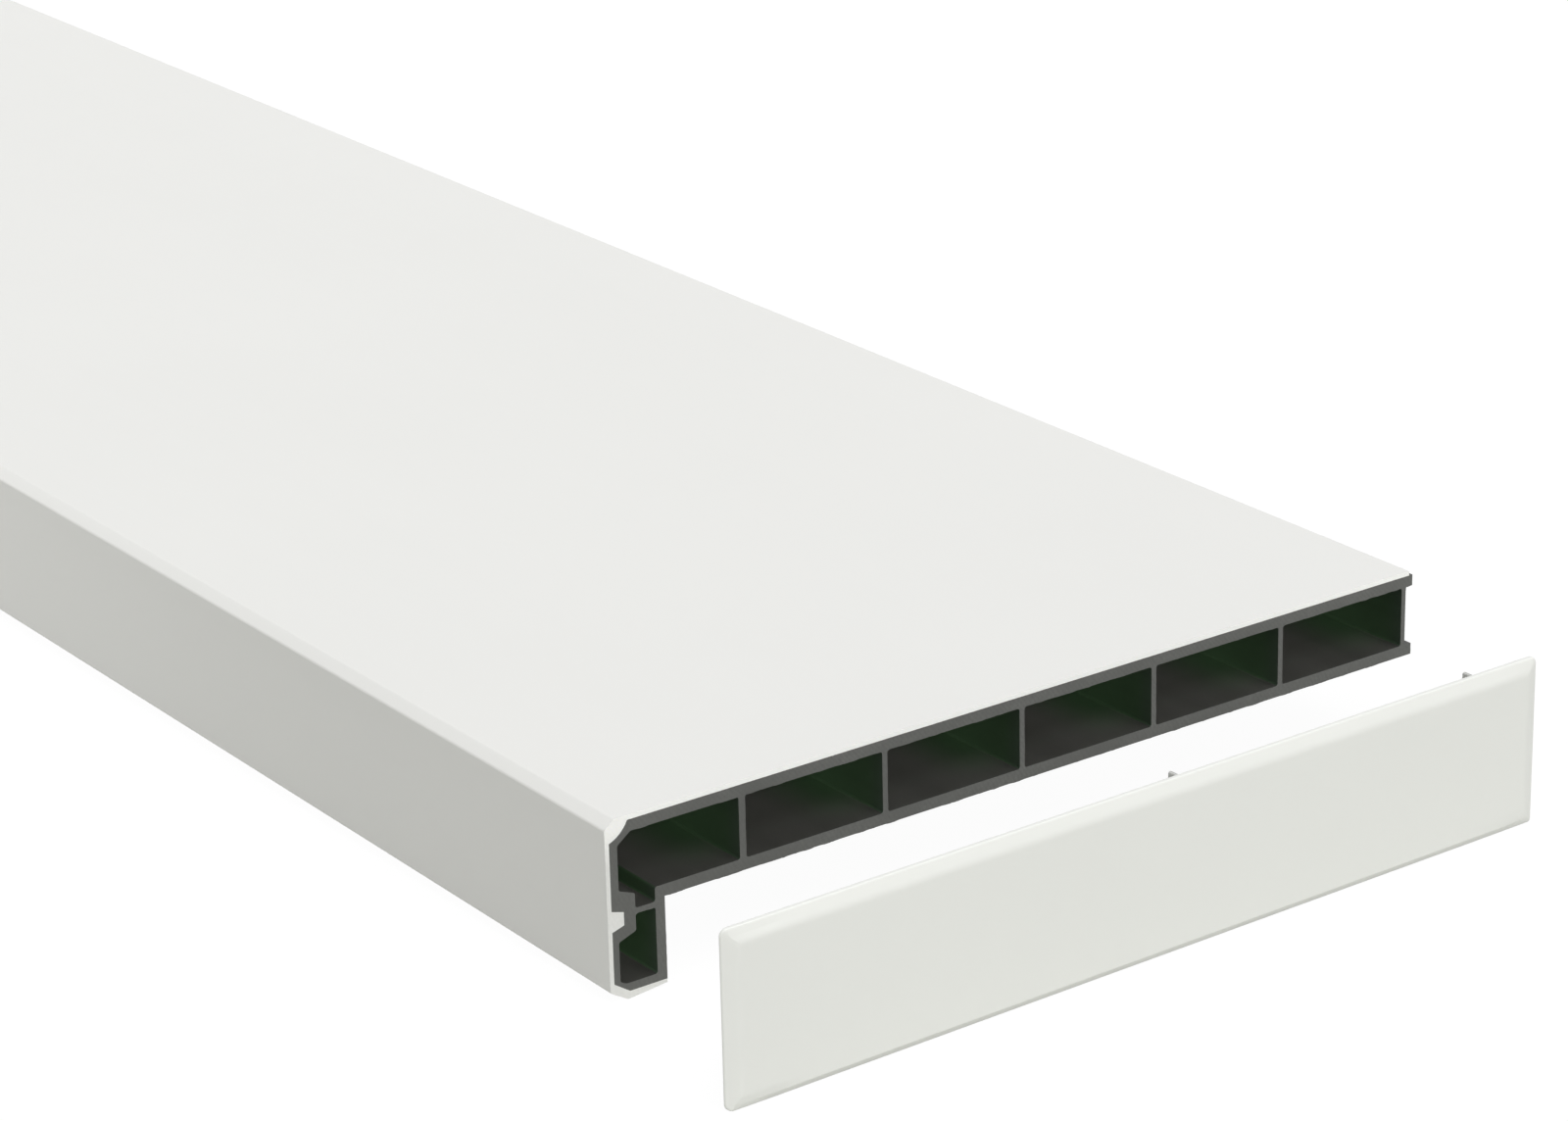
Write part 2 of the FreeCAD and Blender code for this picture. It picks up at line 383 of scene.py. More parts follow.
def make_die_lines():
    """Fine lines that the die draws along an extrusion: noise 500 times as long as it is wide."""
    tree, given, out = new_group(
        "Die lines", [("Vector", "Vector", None), ("Lines per Metre", "Float", 900.0)],
        [("Height", "Float"), ("Streak", "Float")])
    inputs = {"Vector": given["Vector"], "Scale": (1 / 500, 1, 1)}
    stretched = node(tree, "Mapping", inputs).outputs["Vector"]
    fine = noise(tree, stretched, given["Lines per Metre"], detail=3.0, roughness=0.6)
    wide_scale = sums(tree, "MULTIPLY", given["Lines per Metre"], 0.12)
    wide = noise(tree, stretched, wide_scale, detail=1.0)
    height = sums(tree, "MULTIPLY_ADD", wide, 0.6, sums(tree, "MULTIPLY", fine, 0.4))
    put(tree, out["Height"], height)
    put(tree, out["Streak"], spread(tree, height, 0.38, 0.62))


def make_fine_grain():
    """The faint orange peel of hard plastic: two noises, one five times as fine as the other."""
    tree, given, out = new_group(
        "Fine grain", [("Vector", "Vector", None), ("Grain per Metre", "Float", 1200.0)],
        [("Height", "Float"), ("Tone", "Float")])
    coarse = noise(tree, given["Vector"], given["Grain per Metre"], detail=1.0)
    fine_scale = sums(tree, "MULTIPLY", given["Grain per Metre"], 5.0)
    fine = noise(tree, given["Vector"], fine_scale, detail=1.0)
    height = sums(tree, "MULTIPLY_ADD", fine, 0.3, sums(tree, "MULTIPLY", coarse, 0.7))
    put(tree, out["Height"], height)
    put(tree, out["Tone"], spread(tree, coarse, 0.3, 0.7))


def make_tone_drift():
    """A colour that drifts slowly between a little darker and a little lighter."""
    tree, given, out = new_group(
        "Tone drift", [("Color", "Color", (0.5, 0.5, 0.5, 1)), ("Vector", "Vector", None),
                       ("Patches per Metre", "Float", 12.0), ("Amount", "Float", 0.03)],
        [("Color", "Color")])
    patch = noise(tree, given["Vector"], given["Patches per Metre"], detail=4.0, roughness=0.55)
    shift = sums(tree, "MULTIPLY", sums(tree, "SUBTRACT", patch, 0.5), given["Amount"])
    put(tree, out["Color"], scaled(tree, given["Color"], sums(tree, "ADD", 1.0, shift)))


def make_sawn_face():
    """Mask and relief of the two cut ends.

    A face is cut where its distance from the middle of the board is the whole half length. The
    marks are arcs of the blade, all of one radius and shifted along the feed: their phase is the
    depth less the height of the arc over its chord, the square root of radius squared less level
    squared. Noise makes them wander and uneven.
    """
    tree, given, out = new_group(
        "Sawn face", [("Vector", "Vector", None), ("Cut End", "Float", 0.5),
                      ("Blade Radius", "Float", 0.125), ("Pitch", "Float", 0.001),
                      ("Centre Level", "Float", -0.06)],
        [("Cut", "Float"), ("Height", "Float"), ("Tone", "Float")])
    place = apart(tree, given["Vector"])
    from_middle = sums(tree, "ABSOLUTE", place["X"])
    near = sums(tree, "SUBTRACT", given["Cut End"], SAWN_DEPTH)
    put(tree, out["Cut"], sums(tree, "GREATER_THAN", from_middle, near))
    level = sums(tree, "SUBTRACT", place["Z"], given["Centre Level"])
    squares = [sums(tree, "POWER", value, 2.0) for value in (given["Blade Radius"], level)]
    arc = sums(tree, "SQRT", sums(tree, "MAXIMUM", sums(tree, "SUBTRACT", *squares), 0.0))
    wander = noise(tree, given["Vector"], scale=60.0, detail=1.0)
    feed = sums(tree, "MULTIPLY_ADD", wander, SAW_WANDER, sums(tree, "SUBTRACT", place["Y"], arc))
    turns = sums(tree, "DIVIDE", feed, given["Pitch"])
    wave = sums(tree, "SINE", sums(tree, "MULTIPLY", turns, 2 * math.pi))
    uneven = noise(tree, given["Vector"], scale=900.0, detail=3.0, roughness=0.7)
    tone = sums(tree, "MULTIPLY_ADD", wave, 0.06, uneven)
    put(tree, out["Height"], sums(tree, "MULTIPLY_ADD", wave, 0.2, uneven))
    put(tree, out["Tone"], spread(tree, tone, 0.3, 0.7))


def inwards(tree, vector, cut_end):
    """The distance from the nearer cut end."""
    return sums(tree, "SUBTRACT", cut_end, sums(tree, "ABSOLUTE", apart(tree, vector)["X"]))


def make_painted_mouth_light():
    """Painted light and shade: a colour that changes inwards from the cut ends, by a smooth step
    between two shares.
    """
    tree, given, out = new_group(
        "Painted mouth light", [("Color", "Color", (0.1, 0.1, 0.1, 1)), ("Vector", "Vector", None),
                       ("Cut End", "Float", 0.5), ("Reach", "Float", 0.03),
                       ("Share at Cut", "Float", 0.7), ("Share Inside", "Float", 1.3)],
        [("Color", "Color")])
    share = soft_step(tree, inwards(tree, given["Vector"], given["Cut End"]),
                      0.0, given["Reach"], given["Share at Cut"], given["Share Inside"])
    put(tree, out["Color"], scaled(tree, given["Color"], share))


def new_material(name):
    """A new material, its node tree, its Principled shader and the object's own coordinates."""
    material = bpy.data.materials.new(name)
    tree = cleared(material)
    shader = node(tree, "BsdfPrincipled")
    shader.inputs["IOR"].default_value = PLASTIC_IOR
    show(tree, shader)
    return material, tree, shader, node(tree, "TexCoord").outputs["Object"]


def bump(tree, height, distance):
    """The normal of a relief, which is that far in metres from its lowest to its highest."""
    inputs = {"Height": height, "Distance": distance, "Strength": 1.0}
    return node(tree, "Bump", inputs).outputs["Normal"]


def drifting(tree, place, colour, patches_per_metre, amount):
    """A colour that drifts slowly over the surface."""
    inputs = {"Color": colour, "Vector": place,
              "Patches per Metre": patches_per_metre, "Amount": amount}
    return use(tree, "Tone drift", inputs)["Color"]


def painted_mouth_light(tree, place, colour, reach, share_at_cut, share_inside):
    """Painted light and shade: a colour that changes inwards from the board's own cut ends."""
    inputs = {"Color": colour, "Vector": place, "Cut End": CUT_END, "Reach": reach,
              "Share at Cut": share_at_cut, "Share Inside": share_inside}
    return use(tree, "Painted mouth light", inputs)["Color"]


def extruded(tree, shader, place, lines_per_metre, grain_per_metre, gloss, shares, height):
    """Roughness and relief of an extruded plastic that is sawn at its ends; its lines and marks.

    Gloss holds the least roughness, what the die's streaks add to it and what the saw adds. Shares
    holds how much of the relief is die lines, grain and saw marks. Height is the relief's.
    """
    least, streaky, sawn = gloss
    die_share, grain_share, saw_share = shares
    lines = use(tree, "Die lines", {"Vector": place, "Lines per Metre": lines_per_metre})
    grain = use(tree, "Fine grain", {"Vector": place, "Grain per Metre": grain_per_metre})
    saw = use(tree, "Sawn face", {"Vector": place, "Cut End": CUT_END,
                                  "Blade Radius": finish().blade_radius,
                                  "Pitch": finish().saw_pitch})
    satin = sums(tree, "MULTIPLY_ADD", lines["Streak"], streaky, least)
    put(tree, shader.inputs["Roughness"], sums(tree, "MULTIPLY_ADD", saw["Cut"], sawn, satin))
    relief = sums(tree, "MULTIPLY", grain["Height"], grain_share)
    relief = sums(tree, "MULTIPLY_ADD", lines["Height"], die_share, relief)
    marks = sums(tree, "MULTIPLY", saw["Cut"], saw["Height"])
    relief = sums(tree, "MULTIPLY_ADD", marks, saw_share, relief)
    put(tree, shader.inputs["Normal"], bump(tree, relief, height))
    return lines, saw


def layer_material():
    """Satin white hard plastic with die lines and grain; where sawn matt and lighter upwards, as
    painted shade towards its foot.
    """
    material, tree, shader, place = new_material("Extruded white layer")
    _, saw = extruded(tree, shader, place, lines_per_metre=500.0, grain_per_metre=900.0,
                      gloss=(0.42, 0.05, 0.3), shares=(0.4, 0.6, 3.0), height=0.008 * MM)
    white = tuple(finish().layer_colour)
    smooth = drifting(tree, place, white, patches_per_metre=9.0, amount=0.03)
    sawn = shade(white, LAYER_SAWN)
    rough_cut = blend(tree, saw["Tone"], shade(sawn, LAYER_MARKS), sawn)
    # Painted shade: the sawn layer darker towards its foot and lighter towards its top
    rough_cut = scaled(tree, rough_cut, spread(tree, apart(tree, place)["Z"], *LAYER_PAINTED_SHADE))
    put(tree, shader.inputs["Base Color"], blend(tree, saw["Cut"], smooth, rough_cut))
    return material


def chamber_colour_and_painted_light(tree, place):
    """The core's colour: dark grey, with painted light and shade on floors and on the webs' room
    side.

    Floors get lighter inwards, as painted light. Webs are green, a painted shade, less so at the
    cut, and lighter inwards and in the nose. Floors take up the webs' green as painted shade by the
    product of two smooth steps, one inwards and one towards the web behind them.
    """
    plain = tuple(finish().core_colour)
    # Painted light and shade on the floors: darker at the cut and lighter further in
    floor = painted_mouth_light(tree, place, plain, *FLOOR_PAINTED_LIGHT)
    spot = apart(tree, place)
    inside = inwards(tree, place, CUT_END)
    # Painted shade on the webs' room side: green, less so at the cut, with painted light that makes
    # it lighter inwards and in the nose
    greening = soft_step(tree, inside, 0.0, GREEN_REACH)
    green = blend(tree, greening, tuple(finish().web_cut_shade_colour), tuple(finish().web_shade_colour))
    nose = spread(tree, spot["Z"], NOSE_LEVEL, 0.0, NOSE_PAINTED_LIGHT, 1.0)
    web = scaled(tree, painted_mouth_light(tree, place, green, *WEB_PAINTED_LIGHT), nose)
    # Painted shade in the corner at each web's foot: the floor darker and greener towards the web
    to_web = sums(tree, "WRAP", sums(tree, "SUBTRACT", BACK_WEB, spot["Y"]), BAY_PITCH, 0.0)
    further_in = soft_step(tree, inside, 0.0, CORNER_SHADE_REACH)
    near_web = soft_step(tree, to_web, CORNER_SHADE_REACH, CORNER_SHADE_FOOT)
    painted_corner_shade = sums(tree, "MULTIPLY", further_in, near_web)
    floor = blend(tree, painted_corner_shade, floor, scaled(tree, web, CORNER_SHADE_SHARE))
    # Painted light and shade by facing: floors and the webs' room side get their own tones
    facing = apart(tree, node(tree, "TexCoord").outputs["Normal"])
    up = sums(tree, "GREATER_THAN", facing["Z"], 0.5)
    painted_web_side = sums(tree, "LESS_THAN", facing["Y"], -0.5)
    return blend(tree, painted_web_side, blend(tree, up, plain, floor), web)


def core_material():
    """Dark recycled hard plastic: die lines, slow drift of tone, painted light and shade in the
    chambers, lighter and matt where sawn.
    """
    material, tree, shader, place = new_material("Dark extruded core")
    lines, saw = extruded(tree, shader, place, lines_per_metre=700.0, grain_per_metre=1500.0,
                          gloss=(0.45, 0.1, 0.25), shares=(0.7, 0.3, 2.0), height=0.02 * MM)
    least, most = CORE_STREAKS
    dark = drifting(tree, place, chamber_colour_and_painted_light(tree, place), patches_per_metre=25.0, amount=0.25)
    streaked = scaled(tree, dark, sums(tree, "MULTIPLY_ADD", lines["Streak"], most, least))
    sawn = tuple(finish().sawn_core_colour)
    light = drifting(tree, place, sawn, patches_per_metre=30.0, amount=1.2)
    rough_cut = blend(tree, saw["Tone"], shade(sawn, CORE_MARKS), light)
    put(tree, shader.inputs["Base Color"], blend(tree, saw["Cut"], streaked, rough_cut))
    return material


def cap_material():
    """Satin white moulded plastic with an even fine grain."""
    material, tree, shader, place = new_material("Moulded white cap")
    grain = use(tree, "Fine grain", {"Vector": place, "Grain per Metre": 1100.0})
    white = drifting(tree, place, tuple(finish().cap_colour), patches_per_metre=16.0, amount=0.03)
    put(tree, shader.inputs["Base Color"], white)
    put(tree, shader.inputs["Roughness"], sums(tree, "MULTIPLY_ADD", grain["Tone"], 0.06, 0.4))
    put(tree, shader.inputs["Normal"], bump(tree, grain["Height"], 0.008 * MM))
    return material


def outline_rings(corners, radii, insets, arc_steps, run_steps):
    """Rings round a convex outline, one for each inset: an array of ring, point and two axes.

    The sides are moved inwards by the inset. A corner is an arc about the meeting point of the two
    sides moved in by inset plus radius, and the radius is what the inset leaves of the corner's
    own. Straight runs join the arcs.
    """
    corners = np.asarray(corners, float)
    sides = np.roll(corners, -1, axis=0) - corners
    sides /= np.linalg.norm(sides, axis=1)[:, None]
    after = np.column_stack([sides[:, 1], -sides[:, 0]])
    before = np.roll(after, 1, axis=0)
    start = np.arctan2(before[:, 1], before[:, 0])
    turn = (np.arctan2(after[:, 1], after[:, 0]) - start) % (2 * np.pi)
    insets = np.asarray(insets, float)[:, None]
    radius = np.maximum(np.asarray(radii, float)[None] - insets, LEAST_ROUND)
    inward = (before + after) / (1 + (before * after).sum(axis=1))[:, None]
    centre = corners[None] - (insets + radius)[:, :, None] * inward[None]
    angle = start[:, None] + turn[:, None] * np.linspace(0, 1, arc_steps)[None]
    arc = np.stack([np.cos(angle), np.sin(angle)], axis=-1)
    arcs = centre[:, :, None] + radius[:, :, None, None] * arc[None]
    share = (np.arange(1, run_steps) / run_steps)[None, None, :, None]
    first, last = arcs[:, :, -1:], np.roll(arcs[:, :, :1], -1, axis=1)
    rings = np.concatenate([arcs, first + (last - first) * share], axis=2)
    return rings.reshape(len(insets), -1, 2)


def ringed(flat, tall):
    """Points and faces of a solid of rings: quads from ring to ring and a face over each end."""
    rings, count = tall.shape
    along = np.arange(count)
    after = (along + 1) % count
    base = count * np.arange(rings - 1)[:, None]
    quads = np.stack([base + along, base + after, base + count + after, base + count + along], -1)
    lids = [along[::-1].tolist(), (count * (rings - 1) + along).tolist()]
    points = np.concatenate([flat, tall[..., None]], axis=-1)
    return points.reshape(-1, 3), quads.reshape(-1, 4).tolist() + lids


def joined(solids):
    """The points and faces of several closed solids as those of one mesh."""
    starts = np.cumsum([0] + [len(points) for points, _ in solids[:-1]]).tolist()
    faces = [[start + corner for corner in face]
             for start, (_, some) in zip(starts, solids) for face in some]
    return np.concatenate([points for points, _ in solids]), faces


def soft_positive(value, width):
    """A value where it is above zero and zero below, with a parabola within a width of zero."""
    middle = (value + width) ** 2 / (4 * width)
    return np.where(value > width, value, np.where(value < -width, 0.0, middle))


def new_piece(name, solid, material):
    """A smooth mesh object with one material, which rides on the body."""
    points, faces = solid
    mesh = bpy.data.meshes.new(name)
    mesh.from_pydata(points.tolist(), [], faces)
    mesh.shade_smooth()
    mesh.materials.append(material)
    piece = new_object(name, mesh)
    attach(piece, BODY)
    return piece


def quarter_round(radius, steps):
    """Insets and rises of a quarter circle that climbs outwards: one less sine, and less cosine."""
    angle = np.linspace(0, np.pi / 2, steps)
    return radius * np.array([1 - np.sin(angle), 1 - np.cos(angle)])


def cap_plate(width, height, thickness):
    """The cap's plate, in depth, height and thickness from the foot of its front corner behind.

    Its rings start inside the back, go round the back rim and the outer rim, and end half a bevel
    past the ridge. The outer face is the thickness less a bevel along the top and both ends and a
    lower one at the foot. Each bevel falls in a straight line from its ridge to its edge, and a
    parabola rounds the ridge. Where two meet, the fourth root of the sum of their fourth powers
    rounds the mitre. Quarter circles round both rims.
    """
    back = quarter_round(CAP_BACK_RIM, steps=7)
    front = quarter_round(CAP_RIM, steps=7)[::-1]
    across = np.linspace(CAP_RIM, 1.5 * CAP_BEVEL, 22)[1:]
    insets = np.concatenate([[CAP_BEVEL], back[0], front[0], across])
    corners = [[0, 0], [width, 0], [width, height], [0, height]]
    flat = outline_rings(corners, CAP_CORNERS, insets, arc_steps=7, run_steps=24)
    depth, level = flat[..., 0], flat[..., 1]
    edges = np.stack([depth, width - depth, height - level])
    falls = np.array(CAP_FALLS)[:, None, None]
    slopes = soft_positive(falls * (1 - edges / CAP_BEVEL), CAP_RIDGE)
    foot = soft_positive(CAP_FOOT[1] * (1 - level / CAP_FOOT[0]), CAP_FOOT_RIDGE)
    outer = thickness - ((slopes ** 4).sum(axis=0) + foot ** 4) ** 0.25
    behind = 1 + len(back[0])
    tall = outer.copy()
    tall[:behind] = np.concatenate([[0.0], back[1]])[:, None]
    tall[behind:behind + len(front[1])] -= front[1][:, None]
    return ringed(flat, tall)


def cap_peg(width, length, foot, top):
    """A peg on the cap's back, in thickness, height and width.

    Its side is straight above and cut away below towards the tip, and is carried over the width.
    Quarter circles round its edges.
    """
    root, taper = CAP_PEG_ROOT, CAP_PEG_TAPER
    corners = [[-length, foot + taper], [-taper, foot], [root, foot], [root, top], [-length, top]]
    radii = [CAP_PEG_CORNER] * 4 + [CAP_PEG_TIP]
    edge = quarter_round(CAP_PEG_ROUND, steps=4)
    insets = np.concatenate([edge[0], edge[0][::-1]])
    flat = outline_rings(corners, radii, insets, arc_steps=6, run_steps=3)
    rise = np.concatenate([edge[1], width - edge[1][::-1]])
    return ringed(flat, np.repeat(rise[:, None], flat.shape[1], axis=1))


def make_cap():
    """The end cap with soft edges and its three pegs, turned as the CAD cap and a step from it.

    The CAD cap's box ends at the ridge of the front bevel in X, and at the front corner of the
    back in Y.
    """
    low, high = (np.array(corner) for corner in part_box(CAP))
    plate_width, thickness = CAP_PLATE
    sine, cosine = math.sin(CAP_TURN), math.cos(CAP_TURN)
    along, outward, up = np.array([[-sine, cosine, 0], [cosine, sine, 0], [0, 0, 1]])
    corner = np.array([high[0] + CAP_BEVEL * sine - thickness * cosine, low[1], low[2]])
    corner += CAP_SHIFT
    points, faces = cap_plate(plate_width, high[2] - low[2], thickness)
    solids = [(corner + points @ np.array([along, up, outward]), faces)]
    for depth, width, length, foot, top in CAP_PEGS:
        points, faces = cap_peg(width, length, foot, top)
        start = corner + (depth + width / 2) * along
        solids.append((start + points @ np.array([outward, up, -along]), faces))
    cap = new_piece("moulded_cap", joined(solids), cap_material())
    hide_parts(CAP)


def cut_loops(name):
    """The outlines of a node's cut end, in depth and level, with the material on their left.

    They are the edges of the cut's triangles that no second triangle shares, followed from point
    to point. Points are the same where they agree to a tenth of a micron.
    """
    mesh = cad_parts[name].data
    points = np.empty(3 * len(mesh.vertices))
    mesh.vertices.foreach_get("co", points)
    mesh.calc_loop_triangles()
    corners = np.empty(3 * len(mesh.loop_triangles), dtype=np.int64)
    mesh.loop_triangles.foreach_get("vertices", corners)
    points, same = np.unique(points.reshape(-1, 3).round(7), axis=0, return_inverse=True)
    corners = same.ravel()[corners].reshape(-1, 3)
    cut = corners[(points[corners, 0] > CUT_END - 0.001 * MM).all(axis=1)]
    edges = np.concatenate([cut[:, [0, 1]], cut[:, [1, 2]], cut[:, [2, 0]]])
    inner = set(map(tuple, edges[:, ::-1].tolist()))
    following = dict(edge for edge in edges.tolist() if tuple(edge) not in inner)
    loops = []
    while following:
        first, step = following.popitem()
        loop = [first]
        while step != first:
            loop.append(step)
            step = following.pop(step)
        loops.append(points[loop][:, 1:])
    return loops


def resampled(loop, pitch):
    """A closed outline with points about one pitch apart on its edges, and their ways outwards."""
    edges = np.roll(loop, -1, axis=0) - loop
    lengths = np.linalg.norm(edges, axis=1)
    counts = np.maximum(1, np.round(lengths / pitch).astype(int))
    owner = np.repeat(np.arange(len(loop)), counts)
    step = np.arange(counts.sum()) - np.repeat(np.cumsum(counts) - counts, counts)
    points = loop[owner] + edges[owner] * (step / counts[owner])[:, None]
    normal = np.column_stack([edges[:, 1], -edges[:, 0]]) / lengths[:, None]
    at_corner = step == 0
    outward = normal[owner]
    outward[at_corner] += normal[owner[at_corner] - 1]
    return points, outward / np.linalg.norm(outward, axis=1)[:, None]


def distance_to(points, loops):
    """How far each point is from the nearest edge of some closed outlines."""
    starts = np.concatenate(loops)
    edges = np.concatenate([np.roll(loop, -1, axis=0) - loop for loop in loops])
    reach = points[:, None] - starts[None]
    share = np.clip((reach * edges).sum(axis=2) / (edges ** 2).sum(axis=1), 0, 1)
    return np.linalg.norm(reach - share[..., None] * edges[None], axis=2).min(axis=1)


def burr_strip(edge, out):
    """A closed strip of triangles: on the cut's edge, a little down the wall, and out over it."""
    size = len(edge)
    lip = np.column_stack([np.full(size, CUT_END + BURR_LIP), edge + out])
    rim = np.column_stack([np.full(size, CUT_END), edge])
    wall = np.column_stack([np.full(size, CUT_END - BURR_FOOT), edge])
    start = 3 * np.arange(size - 1)[:, None]
    sides = [start + side for side in ([0, 1, 4, 3], [1, 2, 5, 4], [2, 0, 3, 5])]
    lids = [[2, 1, 0], [3 * size - 3, 3 * size - 2, 3 * size - 1]]
    points = np.stack([lip, rim, wall], axis=1)
    return points.reshape(-1, 3), np.concatenate(sides).tolist() + lids


def burr_strips(loops, others, dice):
    """Thin closed strips along the free cut edges that the saw leaves last.

    A strip reaches out over the hollow by random numbers, a smoothed row plus a share of a plain
    one and none below zero, times the share of the outward direction that points along the saw's
    way. It thins out at both ends.
    """
    hump = np.hanning(9) / 2
    strips = []
    for loop in loops:
        points, outward = resampled(loop, BURR_STEP)
        count = len(points)
        closed = np.tile(dice.standard_normal(count), 3)
        smooth = np.convolve(closed, hump, "same")[count:2 * count]
        teeth = np.clip(smooth + BURR_FINE * dice.standard_normal(count), 0, BURR_LONGEST)
        free = distance_to(points, others) > BURR_CLEAR
        reach = finish().burr * teeth * np.clip(outward @ SAW_WAY, 0, 1) * free
        there = reach > BURR_SHORTEST * finish().burr
        rows, turn = (points, outward, reach, there), -int(np.argmin(there))
        points, outward, reach, there = (np.roll(row, turn, axis=0) for row in rows)
        steps = np.diff(np.concatenate([[0], there.astype(int), [0]]))
        ends = np.flatnonzero(steps).reshape(-1, 2)
        for first, last in ends[ends[:, 1] - ends[:, 0] >= BURR_FEWEST]:
            along = np.arange(last - first)
            taper = np.minimum(1, (np.minimum(along, along[::-1]) + BURR_LAST) / BURR_THINNING)
            out = outward[first:last] * (reach[first:last] * taper)[:, None]
            strips.append(burr_strip(points[first:last], out))
    return strips


def make_burr(name, other, material, seed):
    """The saw burr of a node at both cut ends; the far one is a mirror image with other teeth."""
    loops, others = cut_loops(name), cut_loops(other)
    dice = np.random.default_rng(seed)
    near = burr_strips(loops, others, dice)
    far = [(points * [-1, 1, 1], [face[::-1] for face in faces])
           for points, faces in burr_strips(loops, others, dice)]
    new_piece(name + "_burr", joined(near + far), material)


def dress(name, material):
    """Gives a CAD node one material in place of its own."""
    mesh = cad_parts[name].data
    mesh.materials.clear()
    mesh.materials.append(material)


class SILL_OT_effects(bpy.types.Operator):
    """Builds the shared shader node groups"""

    bl_idname = "sill.effects"
    bl_label = "Build effects"

    def execute(self, context):
        make_die_lines()
        make_fine_grain()
        make_tone_drift()
        make_sawn_face()
        make_painted_mouth_light()
        return {"FINISHED"}


class SILL_OT_white_layer(bpy.types.Operator):
    """Finishes the extruded white layer"""

    bl_idname = "sill.white_layer"
    bl_label = "Finish white layer"

    def execute(self, context):
        material = layer_material()
        dress(LAYER, material)
        make_burr(LAYER, CORE, material, seed=10)
        return {"FINISHED"}


class SILL_OT_dark_core(bpy.types.Operator):
    """Finishes the dark hollow core"""

    bl_idname = "sill.dark_core"
    bl_label = "Finish dark core"

    def execute(self, context):
        material = core_material()
        dress(CORE, material)
        make_burr(CORE, LAYER, material, seed=12)
        return {"FINISHED"}


class SILL_OT_end_cap(bpy.types.Operator):
    """Builds the moulded end cap with soft edges"""

    bl_idname = "sill.end_cap"
    bl_label = "Build end cap"

    def execute(self, context):
        make_cap()
        return {"FINISHED"}


def seen_share(tree):
    """1 for rays from the camera, a mirror or glass, and 0 for light that bounces onto things."""
    path = node(tree, "LightPath").outputs
    share = sums(tree, "MAXIMUM", path["Is Camera Ray"], path["Is Glossy Ray"])
    return sums(tree, "MAXIMUM", share, path["Is Transmission Ray"])


def make_world():
    """An even sky: white to look at, and as bright as the studio says where it lights things."""
    world = bpy.data.worlds.new("Studio")
    tree = cleared(world)
    strength = spread(tree, seen_share(tree), 0.0, 1.0, studio().sky, 1.0)
    show(tree, node(tree, "Background", {"Color": WHITE, "Strength": strength}), "World")
    bpy.context.scene.world = world


def make_floor():
    """A wide pale floor, which glows nearly white to look at and keeps a faint shadow."""
    corners = FLOOR_HALF * np.array([[-1, -1], [1, -1], [1, 1], [-1, 1]])
    points = np.column_stack([corners, np.full(4, FLOOR_LEVEL)])
    mesh = bpy.data.meshes.new("studio_floor")
    mesh.from_pydata(points.tolist(), [], [(0, 1, 2, 3)])
    material = bpy.data.materials.new("Studio floor")
    tree = cleared(material)
    seen = seen_share(tree)
    colour = blend(tree, seen, tuple(studio().floor_colour), FLOOR_SEEN)
    glow = sums(tree, "MULTIPLY", seen, FLOOR_GLOW)
    matt = node(tree, "BsdfDiffuse", {"Color": colour}).outputs[0]
    shine = node(tree, "Emission", {"Color": WHITE, "Strength": glow}).outputs[0]
    show(tree, node(tree, "AddShader", {0: matt, 1: shine}))
    mesh.materials.append(material)
    floor = new_object("studio_floor", mesh)


def way_to(azimuth, elevation):
    """The direction of a place round the board, by two angles in degrees; 0 is the room side."""
    around, up = math.radians(azimuth), math.radians(elevation)
    level = math.cos(up)
    return Vector((math.sin(around) * level, -math.cos(around) * level, math.sin(up)))


def new_lamp(name, kind, energy, towards):
    """A new lamp that stands at the origin and shines from a direction, and its object."""
    lamp = bpy.data.lights.new(name, kind)
    lamp.energy = energy
    light = new_object(name, lamp)
    light.matrix_world = towards.to_track_quat("Z", "Y").to_matrix().to_4x4()
    return lamp, light


def make_light(name, towards, strength, angle):
    """One even soft light from a direction."""
    lamp, _ = new_lamp(name, "SUN", strength, towards)
    lamp.angle = angle


def make_pool_light():
    """A soft pool of light, level with the front and far before it, so that it misses the top."""
    lamp, light = new_lamp("pool_light", "SPOT", studio().pool, Vector((0, -1, 0)))
    lamp.spot_size = 2 * math.atan2(POOL_REACH, POOL_AWAY)
    lamp.spot_blend = 1.0
    lamp.shadow_soft_size = POOL_LAMP
    light.location = (POOL_CENTRE, PART_BOX[0].y - POOL_AWAY, 0.0)


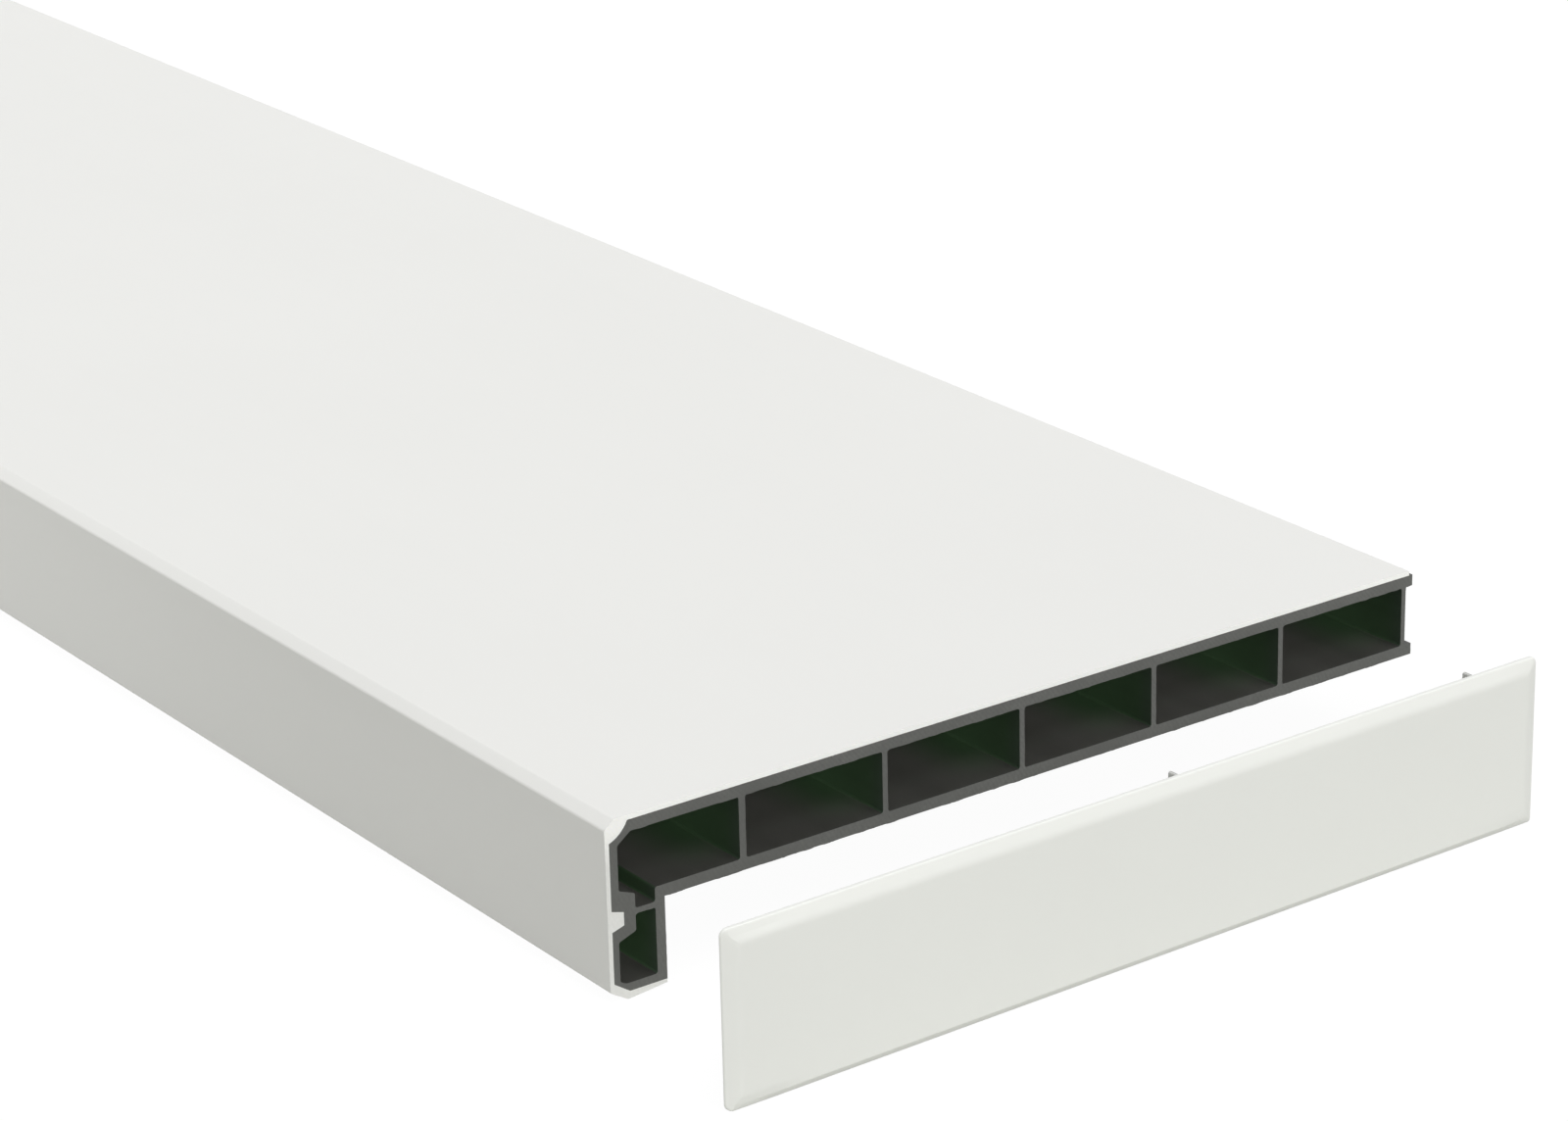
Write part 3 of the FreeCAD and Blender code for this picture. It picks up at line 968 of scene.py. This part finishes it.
def make_camera():
    """The photograph's camera, from its azimuth and elevation round the board, roll and place."""
    back = way_to(*CAMERA_FROM)
    level = (-back).cross(Vector((0, 0, 1))).normalized()
    upright = level.cross(-back)
    right = level * math.cos(CAMERA_ROLL) + upright * math.sin(CAMERA_ROLL)
    top = upright * math.cos(CAMERA_ROLL) - level * math.sin(CAMERA_ROLL)
    turn = Matrix((right, top, back)).transposed().to_4x4()
    data = bpy.data.cameras.new("camera")
    data.lens = studio().lens
    data.sensor_width = CAMERA_SENSOR
    data.sensor_fit = "HORIZONTAL"
    data.clip_start, data.clip_end = 0.01, 100.0
    camera = new_object("camera", data)
    camera.matrix_world = Matrix.Translation(Vector(CAMERA_PLACE) * MM) @ turn
    bpy.context.scene.camera = camera


class SILL_OT_studio(bpy.types.Operator):
    """Builds the floor, the lights and the camera"""

    bl_idname = "sill.studio"
    bl_label = "Build studio"

    def execute(self, context):
        context.scene.view_settings.view_transform = "Standard"
        make_world()
        make_floor()
        make_light("key_light", way_to(*KEY_FROM), studio().key, studio().key_angle)
        make_light("fill_light", way_to(*FILL_FROM), studio().fill, studio().fill_angle)
        make_pool_light()
        make_camera()
        return {"FINISHED"}


class SILL_PT_panel(bpy.types.Panel):
    """The sill board's sizes, colours and steps"""

    bl_idname = "SILL_PT_panel"
    bl_label = "Sill board"
    bl_space_type = "VIEW_3D"
    bl_region_type = "UI"
    bl_category = "Sill board"

    def draw(self, context):
        layout = self.layout
        for group in (finish(), studio()):
            box = layout.box()
            for name in group.bl_rna.properties.keys():
                if name not in ("rna_type", "name"):
                    box.prop(group, name)
        for operator in OPERATORS:
            layout.operator(operator.bl_idname)


GROUPS = (SillFinish, SillStudio)
OPERATORS = (SILL_OT_effects, SILL_OT_white_layer, SILL_OT_dark_core, SILL_OT_end_cap,
             SILL_OT_studio)
CLASSES = GROUPS + OPERATORS + (SILL_PT_panel,)


def register():
    """Registers the classes and hangs the settings on the scene."""
    for item in CLASSES:
        bpy.utils.register_class(item)
    bpy.types.Scene.sill_finish = bpy.props.PointerProperty(type=SillFinish)
    bpy.types.Scene.sill_studio = bpy.props.PointerProperty(type=SillStudio)


def unregister():
    """Undoes register."""
    del bpy.types.Scene.sill_studio
    del bpy.types.Scene.sill_finish
    for item in reversed(CLASSES):
        bpy.utils.unregister_class(item)


def main():
    """Runs every step in order."""
    register()
    bpy.ops.sill.effects()
    bpy.ops.sill.white_layer()
    bpy.ops.sill.dark_core()
    bpy.ops.sill.end_cap()
    bpy.ops.sill.studio()


if __name__ == "__main__":
    main()
